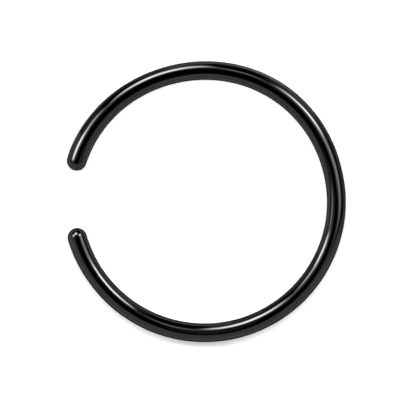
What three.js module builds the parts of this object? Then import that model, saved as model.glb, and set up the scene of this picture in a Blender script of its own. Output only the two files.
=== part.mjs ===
// A plain open nose hoop: one length of round wire, both ends rounded off, bent
// into a ring with a gap between the ends that it is put on through.
//
// The ring lies on its side, as it would by itself on a table. Its axis is +Z and
// the gap faces -X. The origin is the middle of its underside's bounding box.
// Millimetres, +Z up.

import * as THREE from 'three';

// ---- Driving dimensions ----

const WIRE_DIAMETER = 0.62; // 22 gauge wire with its black coating

// The wire's centreline from the lower end to the upper end, in arcs that run on
// from one another without a kink. Sprung open by hand, the ring isn't quite round:
// it is flatter at the crown, so the upper arm stands a little outside a circle.
const BENDS = [
  { radius: 4.32, degrees: 130 }, // lower arm
  { radius: 4.27, degrees: 124 }, // far side
  { radius: 4.6, degrees: 32 }, // crown
  { radius: 4.25, degrees: 39 }, // upper arm
];

// The way the wire heads off from its lower end, turned from +X towards +Y.
const FIRST_HEADING_DEGREES = -73.5;

// ---- Facets ----

const SIDES = 24; // round the wire
const STEPS = 96; // along the wire between its rounded ends
const END_STEPS = 6; // from the wire's side to the tip of each rounded end

const wireRadius = WIRE_DIAMETER / 2;

// Each bend with where it starts: its distance along the wire, its start point and
// its heading there, all worked out from the bends before it.
function layOutBends() {
  const start = new THREE.Vector2(0, 0);
  let distance = 0;
  let heading = THREE.MathUtils.degToRad(FIRST_HEADING_DEGREES);

  return BENDS.map(({ radius, degrees }) => {
    const sweep = THREE.MathUtils.degToRad(degrees);
    const centre = new THREE.Vector2(
      start.x - radius * Math.sin(heading),
      start.y + radius * Math.cos(heading),
    );
    const bend = { radius, centre, heading, distance, length: radius * sweep };

    heading += sweep;
    distance += bend.length;
    start.set(
      centre.x + radius * Math.sin(heading),
      centre.y - radius * Math.cos(heading),
    );
    return bend;
  });
}

const bends = layOutBends();
const wireLength = bends.reduce((total, { length }) => total + length, 0);

// The centreline's point and heading at a distance along the wire.
function centrelineAt(distance) {
  const bend = bends.findLast((candidate) => candidate.distance <= distance);
  const heading = bend.heading + (distance - bend.distance) / bend.radius;
  const x = bend.centre.x + bend.radius * Math.sin(heading);
  const y = bend.centre.y - bend.radius * Math.cos(heading);
  return { x, y, heading };
}

// The wire while it is still straight, along Y, with one of its flat facets facing
// straight down, so that the bent ring lies flat.
function straightWire() {
  const wire = new THREE.CapsuleGeometry(wireRadius, wireLength, END_STEPS, SIDES, STEPS);
  const halfFacet = Math.PI / SIDES;
  wire.rotateY(halfFacet);
  return wire;
}

// Moves each corner of the straight wire to its place beside the bent centreline.
// A rounded end goes straight on past the end of the last bend.
function bendWire(wire) {
  const position = wire.getAttribute('position');
  for (let i = 0; i < position.count; i += 1) {
    const outward = position.getX(i);
    const along = position.getY(i) + wireLength / 2;
    const distance = THREE.MathUtils.clamp(along, 0, wireLength);
    const past = along - distance;
    const { x, y, heading } = centrelineAt(distance);
    position.setX(i, x + outward * Math.sin(heading) + past * Math.cos(heading));
    position.setY(i, y - outward * Math.cos(heading) + past * Math.sin(heading));
  }
  wire.computeVertexNormals();
  return wire;
}

// Puts the middle of the underside of the geometry's box at the origin.
function seat(geometry) {
  geometry.computeBoundingBox();
  const { min, max } = geometry.boundingBox;
  geometry.translate(-(min.x + max.x) / 2, -(min.y + max.y) / 2, -min.z);
  return geometry;
}

function makeHoop() {
  const blackSteel = new THREE.MeshStandardMaterial({
    name: 'black_steel',
    color: 0x0b0b0c,
    metalness: 0,
    roughness: 0.12,
  });
  const hoop = new THREE.Mesh(seat(bendWire(straightWire())), blackSteel);
  hoop.name = 'hoop';
  return hoop;
}

const noseHoop = new THREE.Group();
noseHoop.name = 'nose_hoop';
noseHoop.add(makeHoop());

export default noseHoop;
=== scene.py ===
"""Looks of a plain open nose hoop: a ring of polished black wire with rounded ends,
lying on its side on a white floor. It is seen straight down its axis, in a dark studio
with three bright soft boxes, fainter ones round them, a white card, a bright strip and
some black cloth. Metres, +Z up."""
import math

import bpy
import numpy as np
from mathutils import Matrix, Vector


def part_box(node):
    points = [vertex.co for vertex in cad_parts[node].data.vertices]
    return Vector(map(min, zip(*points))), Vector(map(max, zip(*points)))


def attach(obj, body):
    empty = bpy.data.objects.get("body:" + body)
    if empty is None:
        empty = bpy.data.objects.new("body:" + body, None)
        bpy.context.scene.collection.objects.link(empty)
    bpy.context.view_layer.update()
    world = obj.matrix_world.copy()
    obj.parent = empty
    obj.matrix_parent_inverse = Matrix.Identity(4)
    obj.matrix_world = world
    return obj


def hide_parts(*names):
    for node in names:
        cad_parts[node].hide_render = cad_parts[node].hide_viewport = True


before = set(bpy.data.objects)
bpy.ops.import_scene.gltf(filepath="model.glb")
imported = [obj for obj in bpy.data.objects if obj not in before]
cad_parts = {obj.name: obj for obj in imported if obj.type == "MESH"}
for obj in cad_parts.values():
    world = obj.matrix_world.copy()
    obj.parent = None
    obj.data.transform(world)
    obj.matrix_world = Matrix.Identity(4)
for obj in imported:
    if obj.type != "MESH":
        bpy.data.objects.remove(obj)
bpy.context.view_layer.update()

MM = 0.001

# ---- The wire, as the construction gives it ----

WIRE_RADIUS = 0.31 * MM

# Arcs that run on from one another, from the lower end to the upper end.
BEND_RADII = np.array([4.32, 4.27, 4.6, 4.25]) * MM
BEND_SWEEPS = np.radians([130, 124, 32, 39])
FIRST_HEADING = math.radians(-73.5)

# The rounded ends begin a hair past the arcs' ends.
LOWER_PAST = 0.024 * MM
UPPER_PAST = 0.005 * MM

# The bending tools have pressed the wire, so that its sides bulge a hair, or less: how
# far along it, how far that reaches before and after, and the share it is wider.
PRESSED = [
    # place, before, after, size
    (0.1 * MM, 0.45 * MM, 0.8 * MM, 0.022),
    (16.0 * MM, 1.9 * MM, 1.9 * MM, 0.033),
    (20.2 * MM, 1.5 * MM, 1.2 * MM, -0.012),
    (24.3 * MM, 1.9 * MM, 0.45 * MM, 0.068),
]

# It also strays a hair outwards (above 0) or inwards from true arcs, as bent wire does.
STRAYS = [
    # place, before, after, size
    (0.0 * MM, 0.8 * MM, 0.6 * MM, 0.005 * MM),
    (13.4 * MM, 1.05 * MM, 1.05 * MM, -0.014 * MM),
    (16.4 * MM, 1.1 * MM, 1.1 * MM, 0.010 * MM),
    (19.9 * MM, 1.05 * MM, 1.05 * MM, -0.004 * MM),
    (23.9 * MM, 1.9 * MM, 1.9 * MM, 0.005 * MM),
    (24.8 * MM, 0.5 * MM, 0.5 * MM, -0.009 * MM),
]

# ---- The fine surface ----

ROWS_ALONG = 900
ROWS_PER_END = 20
COLUMNS_AROUND = 96

# ---- The black finish ----

# What the dark metal mirrors face on, and how much of the rise towards its rim it keeps.
MIRROR_TONE = 0.040
RIM_TINT = 0.3

# Drawing lines run along the wire: cycles per metre along it and across it, how many
# octaves of finer noise they have, how much they change its tone, how deep they are, and
# the lowest and highest roughness they give.
LINES_ALONG = 900
LINES_ACROSS = 45000
LINE_DETAIL = 3.0
LINE_CONTRAST = 0.25
LINE_DEPTH = 0.0005 * MM
SMOOTH_ROUGHNESS = 0.04
BRUSHED_ROUGHNESS = 0.12

# Handling leaves the gloss uneven in patches, and bending leaves slow waves: cycles per
# metre, octaves of finer noise, and the patches' share of roughness or the waves' depth.
PATCHES = 700
PATCH_DETAIL = 4.0
PATCH_CONTRAST = 0.25
WAVES = 400
WAVE_DETAIL = 1.0
WAVE_DEPTH = 0.03 * MM

# Nearly all of a noise lies between these.
NOISE_LOW = 0.3
NOISE_HIGH = 0.7

# ---- The studio ----

FLOOR_HALF = 0.6
FLOOR_DROP = 0.002 * MM
FLOOR_TONE = 0.8

# How brightly the room lights the floor, and how bright the backdrop looks.
DOME_LEVEL = 0.12
BACKDROP_LEVEL = 1.0

# The floor also glows, a painted glow in place of light from below: how bright near the hoop,
# and how bright far off.
NEAR_GLOW = 0.53
NEAR_DISTANCE = 9 * MM
FAR_GLOW = 0.92
FAR_DISTANCE = 30 * MM

# A white card stands bent round the side of -y. It faces this azimuth and reaches this
# far to each side of it, in degrees. This share of its height fades to its top edge.
CARD_RADIUS = 17 * MM
CARD_HEIGHT = 30 * MM
CARD_AZIMUTH = -93
CARD_REACH = 88
CARD_LEVEL = 0.88
CARD_FADE = 0.53

# The strip and the cloths lie on the floor, this far above the hoop's lowest line.
SHEET_LIFT = 0.01 * MM

# A narrow bright strip lies bent round the hoop. Its middle is at this azimuth, and it
# reaches this far to each side of it, in degrees.
STRIP_RADIUS = 5.5 * MM
STRIP_HALF_WIDTH = 0.45 * MM
STRIP_AZIMUTH = 67
STRIP_REACH = 26
STRIP_LEVEL = 6.0

# Black cloths lie outside the hoop's far left and its right, and inside its near right:
# middle azimuth and reach to each side, in degrees, and the distances from its axis
# where they begin and end.
BLACK_CLOTHS = [
    # name, azimuth, reach, nearest, farthest
    ("outer_cloth", 128, 23, 6.4 * MM, 60 * MM),
    ("right_cloth", 12, 26, 7.4 * MM, 60 * MM),
    ("inner_cloth", -52, 27, 0.0, 2.4 * MM),
]

SHEET_CELLS = 48

# Each soft box: how far it is from the hoop, where it stands as seen from there (degrees
# from +x towards +y, and degrees down from straight up), how wide and tall it looks in
# degrees, how bright its middle is, where a lit white floor is about 1, and how much of
# its height is bright.
SOFT_BOXES = [
    # name, distance, azimuth, from_up, wide, tall, bright, core
    ("right_box", 350 * MM, 43.2, 45, 23, 70, 41, 0.14),
    ("top_box", 1000 * MM, 110, 49, 34, 48, 30, 0.42),
    ("left_box", 110 * MM, 156.5, 50, 14, 60, 32, 0.26),
    ("right_tail", 40 * MM, 17, 44, 44, 50, 5.7, 0.5),
    ("gap_glow", 350 * MM, 74.5, 31.5, 13, 22, 3.1, 1.0),
    ("left_tail", 110 * MM, 144, 48.5, 14, 40, 11, 0.4),
    ("left_end", 110 * MM, 174, 52, 24, 30, 5.5, 0.5),
    ("top_spill", 350 * MM, 104, 84, 30, 44, 0.7, 1.0),
    ("right_wall", 350 * MM, 45, 71, 40, 34, 1.1, 1.0),
    ("far_wall", 350 * MM, 12, 83, 44, 24, 0.3, 1.0),
    ("left_wall", 350 * MM, 159, 73, 48, 34, 1.0, 1.0),
    ("left_sky", 350 * MM, 149, 27, 30, 26, 0.9, 1.0),
    ("right_sky", 30 * MM, 33, 29, 28, 32, 0.95, 1.0),
    ("near_sky", 30 * MM, -22, 39, 42, 42, 0.38, 1.0),
    ("near_haze", 6.2 * MM, -87, 37, 30, 44, 0.24, 1.0),
    ("left_haze", 350 * MM, -174, 41, 26, 50, 0.4, 1.0),
]

# A long narrow lamp, close above the far side of the hoop and tilted towards -y, throws
# a short soft shadow there under the near arm, and hardly any inside the hoop.
LAMP_PLACE = (0, 5 * MM, 20 * MM)
LAMP_LENGTH = 60 * MM
LAMP_WIDTH = 8 * MM
LAMP_TILT = math.radians(25)
LAMP_POWER = 0.0088

# ---- The camera, straight above, looking down the hoop's axis ----

LENS = 300.0
SENSOR = 36.0
VIEW_WIDTH = 13.58 * MM
VIEW_CENTRE = (0.054 * MM, -0.207 * MM)
FARTHEST_SEEN = 10.0


# ---- The hoop ----


def centreline(distance):
    """Points and headings at distances along the wire. On each arc the heading grows
    by distance over radius, and the point moves from the arc's start by the radius
    times the change of (sin heading, -cos heading)."""
    lengths = BEND_RADII * BEND_SWEEPS
    starts = np.concatenate([[0.0], np.cumsum(lengths)[:-1]])
    headings = FIRST_HEADING + np.concatenate([[0.0], np.cumsum(BEND_SWEEPS)])
    turned = np.stack([np.sin(headings), -np.cos(headings)], axis=1)
    hops = BEND_RADII[:, None] * np.diff(turned, axis=0)
    corners = np.concatenate([np.zeros((1, 2)), np.cumsum(hops, axis=0)[:-1]])

    arc = np.searchsorted(starts, distance, side="right") - 1
    heading = headings[arc] + (distance - starts[arc]) / BEND_RADII[arc]
    facing = np.stack([np.sin(heading), -np.cos(heading)], axis=1)
    points = corners[arc] + BEND_RADII[arc][:, None] * (facing - turned[arc])
    return points, heading


def wire_profile():
    """Distance along the wire and radius there, row by row: a quarter circle out from
    the first tip, the straight side, and a quarter circle in to the last tip."""
    length = float(BEND_RADII @ BEND_SWEEPS)
    first, last = -LOWER_PAST, length + UPPER_PAST
    quarter = np.linspace(0.0, math.pi / 2, ROWS_PER_END + 1)
    side = np.linspace(first, last, ROWS_ALONG + 1)[1:-1]
    along = np.concatenate([
        first - WIRE_RADIUS * np.cos(quarter), side, last + WIRE_RADIUS * np.sin(quarter)
    ])
    radius = WIRE_RADIUS * np.concatenate([
        np.sin(quarter), np.ones(len(side)), np.cos(quarter)
    ])
    return along, radius, length


def bumps(along, rows):
    """The sum of smooth bumps at distances along the wire. Each is its size times e to
    the power minus the square of the distance to its place over its reach there."""
    place, before, after, size = np.array(rows).T[:, :, None]
    reach = np.where(along < place, before, after)
    return (size * np.exp(-((along - place) / reach) ** 2)).sum(axis=0)


def hoop_surface():
    """The bent wire as a grid of points, and where each lay on the straight wire.
    A point is the centreline's, plus radius times (cos angle outwards, sin angle up),
    plus what lies past the wire's end, straight on. The outward part is times 1 plus
    the pressed bumps times cos angle to the power 4, so only the sides bulge, and then
    the wire's straying is added to it."""
    along, radius, length = wire_profile()
    distance = np.clip(along, 0.0, length)
    past = along - distance
    points, heading = centreline(distance)
    onward = np.stack([np.cos(heading), np.sin(heading)], axis=1)
    outward = np.stack([np.sin(heading), -np.cos(heading)], axis=1)
    angle = np.linspace(0.0, 2 * math.pi, COLUMNS_AROUND, endpoint=False)

    wider = 1 + bumps(along, PRESSED)[:, None] * np.cos(angle) ** 4
    across = radius[:, None] * np.cos(angle) * wider
    outwards = across + bumps(along, STRAYS)[:, None]
    upward = radius[:, None] * np.sin(angle)
    middle = (points + past[:, None] * onward)[:, None, :]
    flat = middle + outwards[..., None] * outward[:, None, :]
    grid = np.concatenate([flat, upward[..., None] + WIRE_RADIUS], axis=2)
    lengthwise = np.broadcast_to(along[:, None], across.shape)
    straight = np.stack([lengthwise, across, upward], axis=2)
    return grid, straight


def tube_mesh(name, grid, straight):
    """Joins a grid of rows into a closed skin whose first and last rows are single
    points: quads between rows, triangles round each tip, all facing outwards."""
    rows, columns = grid.shape[:2]
    vertices = np.concatenate([grid[0, :1], grid[1:-1].reshape(-1, 3), grid[-1, :1]])
    places = np.concatenate([straight[0, :1], straight[1:-1].reshape(-1, 3), straight[-1, :1]])

    column = np.arange(columns)
    following = (column + 1) % columns
    start = 1 + columns * np.arange(rows - 3)[:, None]
    quads = np.stack([
        start + column, start + columns + column,
        start + columns + following, start + following,
    ], axis=2).reshape(-1, 4)
    last_ring = 1 + columns * (rows - 3)
    tip = np.full_like(column, len(vertices) - 1)
    first_fan = np.stack([np.zeros_like(column), column + 1, following + 1], axis=1)
    last_fan = np.stack([tip, last_ring + following, last_ring + column], axis=1)

    mesh = bpy.data.meshes.new(name)
    faces = [*first_fan.tolist(), *quads.tolist(), *last_fan.tolist()]
    mesh.from_pydata(vertices.tolist(), [], faces)
    mesh.shade_smooth()
    spot = mesh.attributes.new("straight_wire", "FLOAT_VECTOR", "POINT")
    spot.data.foreach_set("vector", places.astype(np.float32).ravel())
    return mesh


def make_hoop():
    """The dressed hoop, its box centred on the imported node's box and its lowest line
    level with that box's floor."""
    grid, straight = hoop_surface()
    low, high = grid.reshape(-1, 3).min(axis=0), grid.reshape(-1, 3).max(axis=0)
    node_low, node_high = map(np.array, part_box("hoop"))
    shift = (node_low + node_high - low - high) / 2
    shift[2] = node_low[2] - low[2]
    hoop = place_in_scene("polished_hoop", tube_mesh("polished_hoop", grid + shift, straight))
    hoop.data.materials.append(black_steel())
    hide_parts("hoop")
    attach(hoop, "root")


def place_in_scene(name, mesh):
    """Links a mesh's object at the origin, unturned."""
    thing = bpy.data.objects.new(name, mesh)
    bpy.context.scene.collection.objects.link(thing)
    return thing


# ---- Finishes ----


def new_material(name):
    """An empty material with its Principled shader, and its nodes and links."""
    material = bpy.data.materials.new(name)
    material.use_nodes = True
    tree = material.node_tree
    return material, tree.nodes, tree.links.new, tree.nodes["Principled BSDF"]


def wire_noise(nodes, link, place, along, across, detail):
    """Soft noise over the straight wire, in cycles per metre along it and across it."""
    stretch = nodes.new("ShaderNodeMapping")
    stretch.inputs["Scale"].default_value = (along, across, across)
    noise = nodes.new("ShaderNodeTexNoise")
    noise.inputs["Scale"].default_value = 1.0
    noise.inputs["Detail"].default_value = detail
    link(place.outputs["Vector"], stretch.inputs["Vector"])
    link(stretch.outputs["Vector"], noise.inputs["Vector"])
    return noise.outputs["Fac"]


def spread(nodes, link, noise, low, high):
    """Stretches the part of a noise where nearly all of it lies over low to high."""
    stretch = nodes.new("ShaderNodeMapRange")
    stretch.inputs["From Min"].default_value = NOISE_LOW
    stretch.inputs["From Max"].default_value = NOISE_HIGH
    stretch.inputs["To Min"].default_value = low
    stretch.inputs["To Max"].default_value = high
    link(noise, stretch.inputs["Value"])
    return stretch


def black_steel():
    """Polished black coating on drawn steel wire: a very dark metal that mirrors
    clearly. Hair-fine drawing lines run along it, in its tone, gloss and height. Its
    bends have left it a little uneven, and handling has varied its gloss in patches."""
    material, nodes, link, shader = new_material("black_coated_steel")
    shader.inputs["Metallic"].default_value = 1.0
    shader.inputs["Specular Tint"].default_value = (RIM_TINT, RIM_TINT, RIM_TINT, 1)

    place = nodes.new("ShaderNodeAttribute")
    place.attribute_name = "straight_wire"
    lines = wire_noise(nodes, link, place, LINES_ALONG, LINES_ACROSS, LINE_DETAIL)
    patches = wire_noise(nodes, link, place, PATCHES, PATCHES, PATCH_DETAIL)
    waves = wire_noise(nodes, link, place, WAVES, WAVES, WAVE_DETAIL)

    worn = spread(nodes, link, lines, 0.0, 1.0)
    tone = nodes.new("ShaderNodeMix")
    tone.data_type = "RGBA"
    tone.inputs["A"].default_value = (*[MIRROR_TONE * (1 - LINE_CONTRAST)] * 3, 1)
    tone.inputs["B"].default_value = (*[MIRROR_TONE * (1 + LINE_CONTRAST)] * 3, 1)
    link(worn.outputs["Result"], tone.inputs["Factor"])
    link(tone.outputs["Result"], shader.inputs["Base Color"])

    brushed = spread(nodes, link, lines, SMOOTH_ROUGHNESS, BRUSHED_ROUGHNESS)
    handled = spread(nodes, link, patches, 1 - PATCH_CONTRAST, 1 + PATCH_CONTRAST)
    roughness = nodes.new("ShaderNodeMath")
    roughness.operation = "MULTIPLY"
    link(brushed.outputs["Result"], roughness.inputs[0])
    link(handled.outputs["Result"], roughness.inputs[1])
    link(roughness.outputs["Value"], shader.inputs["Roughness"])

    uneven = nodes.new("ShaderNodeBump")
    uneven.inputs["Distance"].default_value = WAVE_DEPTH
    link(waves, uneven.inputs["Height"])
    grooved = nodes.new("ShaderNodeBump")
    grooved.inputs["Distance"].default_value = LINE_DEPTH
    link(lines, grooved.inputs["Height"])
    link(uneven.outputs["Normal"], grooved.inputs["Normal"])
    link(grooved.outputs["Normal"], shader.inputs["Normal"])
    return material


def light_table():
    """A matt white table top that glows as well, a painted glow in place of light from
    below, and more so away from the hoop, where the near lamp no longer reaches."""
    material, nodes, link, shader = new_material("light_table")
    shader.inputs["Base Color"].default_value = (FLOOR_TONE, FLOOR_TONE, FLOOR_TONE, 1)
    shader.inputs["Emission Color"].default_value = (1, 1, 1, 1)
    shader.inputs["Roughness"].default_value = 1.0
    shader.inputs["Specular IOR Level"].default_value = 0.0

    place = nodes.new("ShaderNodeTexCoord")
    distance = nodes.new("ShaderNodeVectorMath")
    distance.operation = "LENGTH"
    link(place.outputs["Object"], distance.inputs[0])
    # Painted glow: the floor's emission grows from its near level to its far level with
    # distance from the hoop.
    glow = nodes.new("ShaderNodeMapRange")
    glow.inputs["From Min"].default_value = NEAR_DISTANCE
    glow.inputs["From Max"].default_value = FAR_DISTANCE
    glow.inputs["To Min"].default_value = NEAR_GLOW
    glow.inputs["To Max"].default_value = FAR_GLOW
    link(distance.outputs["Value"], glow.inputs["Value"])
    link(glow.outputs["Result"], shader.inputs["Emission Strength"])
    return material


def matt_black():
    """Cloth that mirrors nothing and scatters nothing."""
    material, _, _, shader = new_material("matt_black")
    shader.inputs["Base Color"].default_value = (0, 0, 0, 1)
    shader.inputs["Roughness"].default_value = 1.0
    shader.inputs["Specular IOR Level"].default_value = 0.0
    return material


def glowing_cloth():
    """The cloth of the soft boxes, card and strip: it glows as much as its glow
    attribute says, and lets through what glows behind it."""
    material = bpy.data.materials.new("glowing_cloth")
    material.use_nodes = True
    nodes, link = material.node_tree.nodes, material.node_tree.links.new
    nodes.remove(nodes["Principled BSDF"])
    glow = nodes.new("ShaderNodeAttribute")
    glow.attribute_name = "glow"
    light = nodes.new("ShaderNodeEmission")
    link(glow.outputs["Fac"], light.inputs["Strength"])
    thin = nodes.new("ShaderNodeBsdfTransparent")
    both = nodes.new("ShaderNodeAddShader")
    link(light.outputs["Emission"], both.inputs[0])
    link(thin.outputs["BSDF"], both.inputs[1])
    link(both.outputs["Shader"], nodes["Material Output"].inputs["Surface"])
    return material


# ---- Floor, lights and camera ----


def towards(azimuth, from_up):
    """The direction at an azimuth and an angle from straight up, in degrees, and the
    two directions across it: level, and downwards."""
    a, p = math.radians(azimuth), math.radians(from_up)
    away = np.array([math.sin(p) * math.cos(a), math.sin(p) * math.sin(a), math.cos(p)])
    level = np.array([-math.sin(a), math.cos(a), 0.0])
    return away, level, np.cross(level, away)


def reflected_sheet(name, points, glow, cloth):
    """A square grid of points as a sheet that glows, seen only in reflections."""
    cells = len(points) - 1
    corner = np.arange(cells)[:, None] * (cells + 1) + np.arange(cells)
    faces = np.stack([corner, corner + 1, corner + cells + 2, corner + cells + 1], axis=2)
    mesh = bpy.data.meshes.new(name)
    mesh.from_pydata(points.reshape(-1, 3).tolist(), [], faces.reshape(-1, 4).tolist())
    mesh.attributes.new("glow", "FLOAT", "POINT").data.foreach_set("value", glow.ravel())
    mesh.materials.append(cloth)
    sheet = place_in_scene(name, mesh)
    sheet.visible_camera = False
    sheet.visible_diffuse = False
    sheet.visible_shadow = False


def sheet_grid(first):
    """Two grids of numbers across a sheet: from -1 to 1 down it, first to 1 along it."""
    down = np.linspace(-1.0, 1.0, SHEET_CELLS + 1)
    along = np.linspace(first, 1.0, SHEET_CELLS + 1)
    return np.meshgrid(down, along, indexing="ij")


def soft_box(cloth, name, distance, azimuth, from_up, wide, tall, bright, core):
    """A flat glowing panel that faces the hoop, seen only in reflections. For u and v
    from -1 to 1 across it, its point is the middle plus u half widths and v half
    heights. Its glow is bright times (1 - u squared) times (1 - v squared), over
    (1 + (v / core) squared) to the power 1.5."""
    away, level, down = towards(azimuth, from_up)
    u, v = sheet_grid(-1.0)
    half_wide = distance * math.tan(math.radians(wide) / 2)
    half_tall = distance * math.tan(math.radians(tall) / 2)
    offset = half_wide * u[..., None] * level + half_tall * v[..., None] * down
    points = distance * away + offset
    glow = bright * (1 - u ** 2) * (1 - v ** 2) / (1 + (v / core) ** 2) ** 1.5
    reflected_sheet(name, points, glow, cloth)


def round_points(azimuth, radius, height):
    """Points at azimuths in degrees, distances from the hoop's axis, and heights."""
    turn = np.radians(azimuth)
    return np.stack([radius * np.cos(turn), radius * np.sin(turn), height], axis=2)


def bent_card(cloth):
    """A glowing card bent round the near side of the hoop, seen only in reflections. For
    w from -1 to 1 along it and v from 0 to 1 up it, its point is at the card's azimuth
    plus w times its reach, and at v times its height times (1 - w to the power 4). It is
    evenly bright up to where its fade starts, then fades by a smooth step to its top."""
    w, v = sheet_grid(0.0)
    azimuth = CARD_AZIMUTH + CARD_REACH * w
    points = round_points(azimuth, CARD_RADIUS, CARD_HEIGHT * (1 - w ** 4) * v)
    share = np.clip((1 - v) / CARD_FADE, 0.0, 1.0)
    glow = CARD_LEVEL * share ** 2 * (3 - 2 * share)
    reflected_sheet("bent_card", points, glow, cloth)


def low_strip(cloth):
    """A narrow glowing strip that lies bent round the far right of the hoop, seen only
    in reflections. For w and v from -1 to 1 along and across it, its point is at the
    strip's azimuth plus w times its reach, and at its radius plus v times its half
    width. Its glow is its level times (1 - w squared) times (1 - v squared)."""
    w, v = sheet_grid(-1.0)
    azimuth = STRIP_AZIMUTH + STRIP_REACH * w
    radius = STRIP_RADIUS + STRIP_HALF_WIDTH * v
    points = round_points(azimuth, radius, np.full_like(v, SHEET_LIFT))
    glow = STRIP_LEVEL * (1 - w ** 2) * (1 - v ** 2)
    reflected_sheet("low_strip", points, glow, cloth)


def black_cloth(black, name, azimuth, reach, nearest, farthest):
    """A matt black cloth on the floor, seen only in reflections. For w from -1 to 1 and
    v from 0 to 1, its point is at its azimuth plus w times its reach, and at a distance
    from the hoop's axis that grows evenly from its nearest to its farthest."""
    w, v = sheet_grid(0.0)
    radius = nearest + (farthest - nearest) * v
    points = round_points(azimuth + reach * w, radius, np.full_like(v, SHEET_LIFT))
    reflected_sheet(name, points, np.zeros_like(v), black)


def near_lamp():
    """A long narrow lamp, kept out of reflections."""
    data = bpy.data.lights.new("near_lamp", "AREA")
    data.shape = "RECTANGLE"
    data.size = LAMP_LENGTH
    data.size_y = LAMP_WIDTH
    data.energy = LAMP_POWER
    lamp = place_in_scene("near_lamp", data)
    lamp.location = LAMP_PLACE
    lamp.rotation_euler = (-LAMP_TILT, 0, 0)
    lamp.visible_glossy = False
    lamp.visible_camera = False


def studio_world():
    """What is round the stage. The floor is lit evenly from all sides, the camera sees
    a plain white backdrop, and the hoop mirrors a dark room."""
    world = bpy.data.worlds.new("studio")
    world.use_nodes = True
    bpy.context.scene.world = world
    nodes, link = world.node_tree.nodes, world.node_tree.links.new
    nodes["Background"].inputs["Color"].default_value = (1, 1, 1, 1)

    ray = nodes.new("ShaderNodeLightPath")
    mirrored = nodes.new("ShaderNodeMix")
    mirrored.inputs["A"].default_value = DOME_LEVEL
    link(ray.outputs["Is Glossy Ray"], mirrored.inputs["Factor"])
    mirrored.inputs["B"].default_value = 0.0
    seen = nodes.new("ShaderNodeMix")
    seen.inputs["B"].default_value = BACKDROP_LEVEL
    link(ray.outputs["Is Camera Ray"], seen.inputs["Factor"])
    link(mirrored.outputs["Result"], seen.inputs["A"])
    link(seen.outputs["Result"], nodes["Background"].inputs["Strength"])


def make_floor():
    """A wide table top, a hair below the hoop."""
    h = FLOOR_HALF
    z = -FLOOR_DROP
    mesh = bpy.data.meshes.new("floor")
    mesh.from_pydata([(-h, -h, z), (h, -h, z), (h, h, z), (-h, h, z)], [], [(0, 1, 2, 3)])
    mesh.materials.append(light_table())
    place_in_scene("floor", mesh)


def make_camera():
    """A long lens, as far up as makes the view the wanted width at the wire."""
    camera = place_in_scene("camera", bpy.data.cameras.new("camera"))
    camera.data.lens = LENS
    camera.data.sensor_width = SENSOR
    distance = VIEW_WIDTH * LENS / SENSOR
    camera.location = (*VIEW_CENTRE, WIRE_RADIUS + distance)
    camera.data.clip_start = distance / 10
    camera.data.clip_end = FARTHEST_SEEN
    bpy.context.scene.camera = camera


bpy.context.scene.view_settings.view_transform = "Standard"
make_camera()
make_hoop()
make_floor()
studio_world()
cloth = glowing_cloth()
for row in SOFT_BOXES:
    soft_box(cloth, *row)
bent_card(cloth)
low_strip(cloth)
black = matt_black()
for row in BLACK_CLOTHS:
    black_cloth(black, *row)
near_lamp()
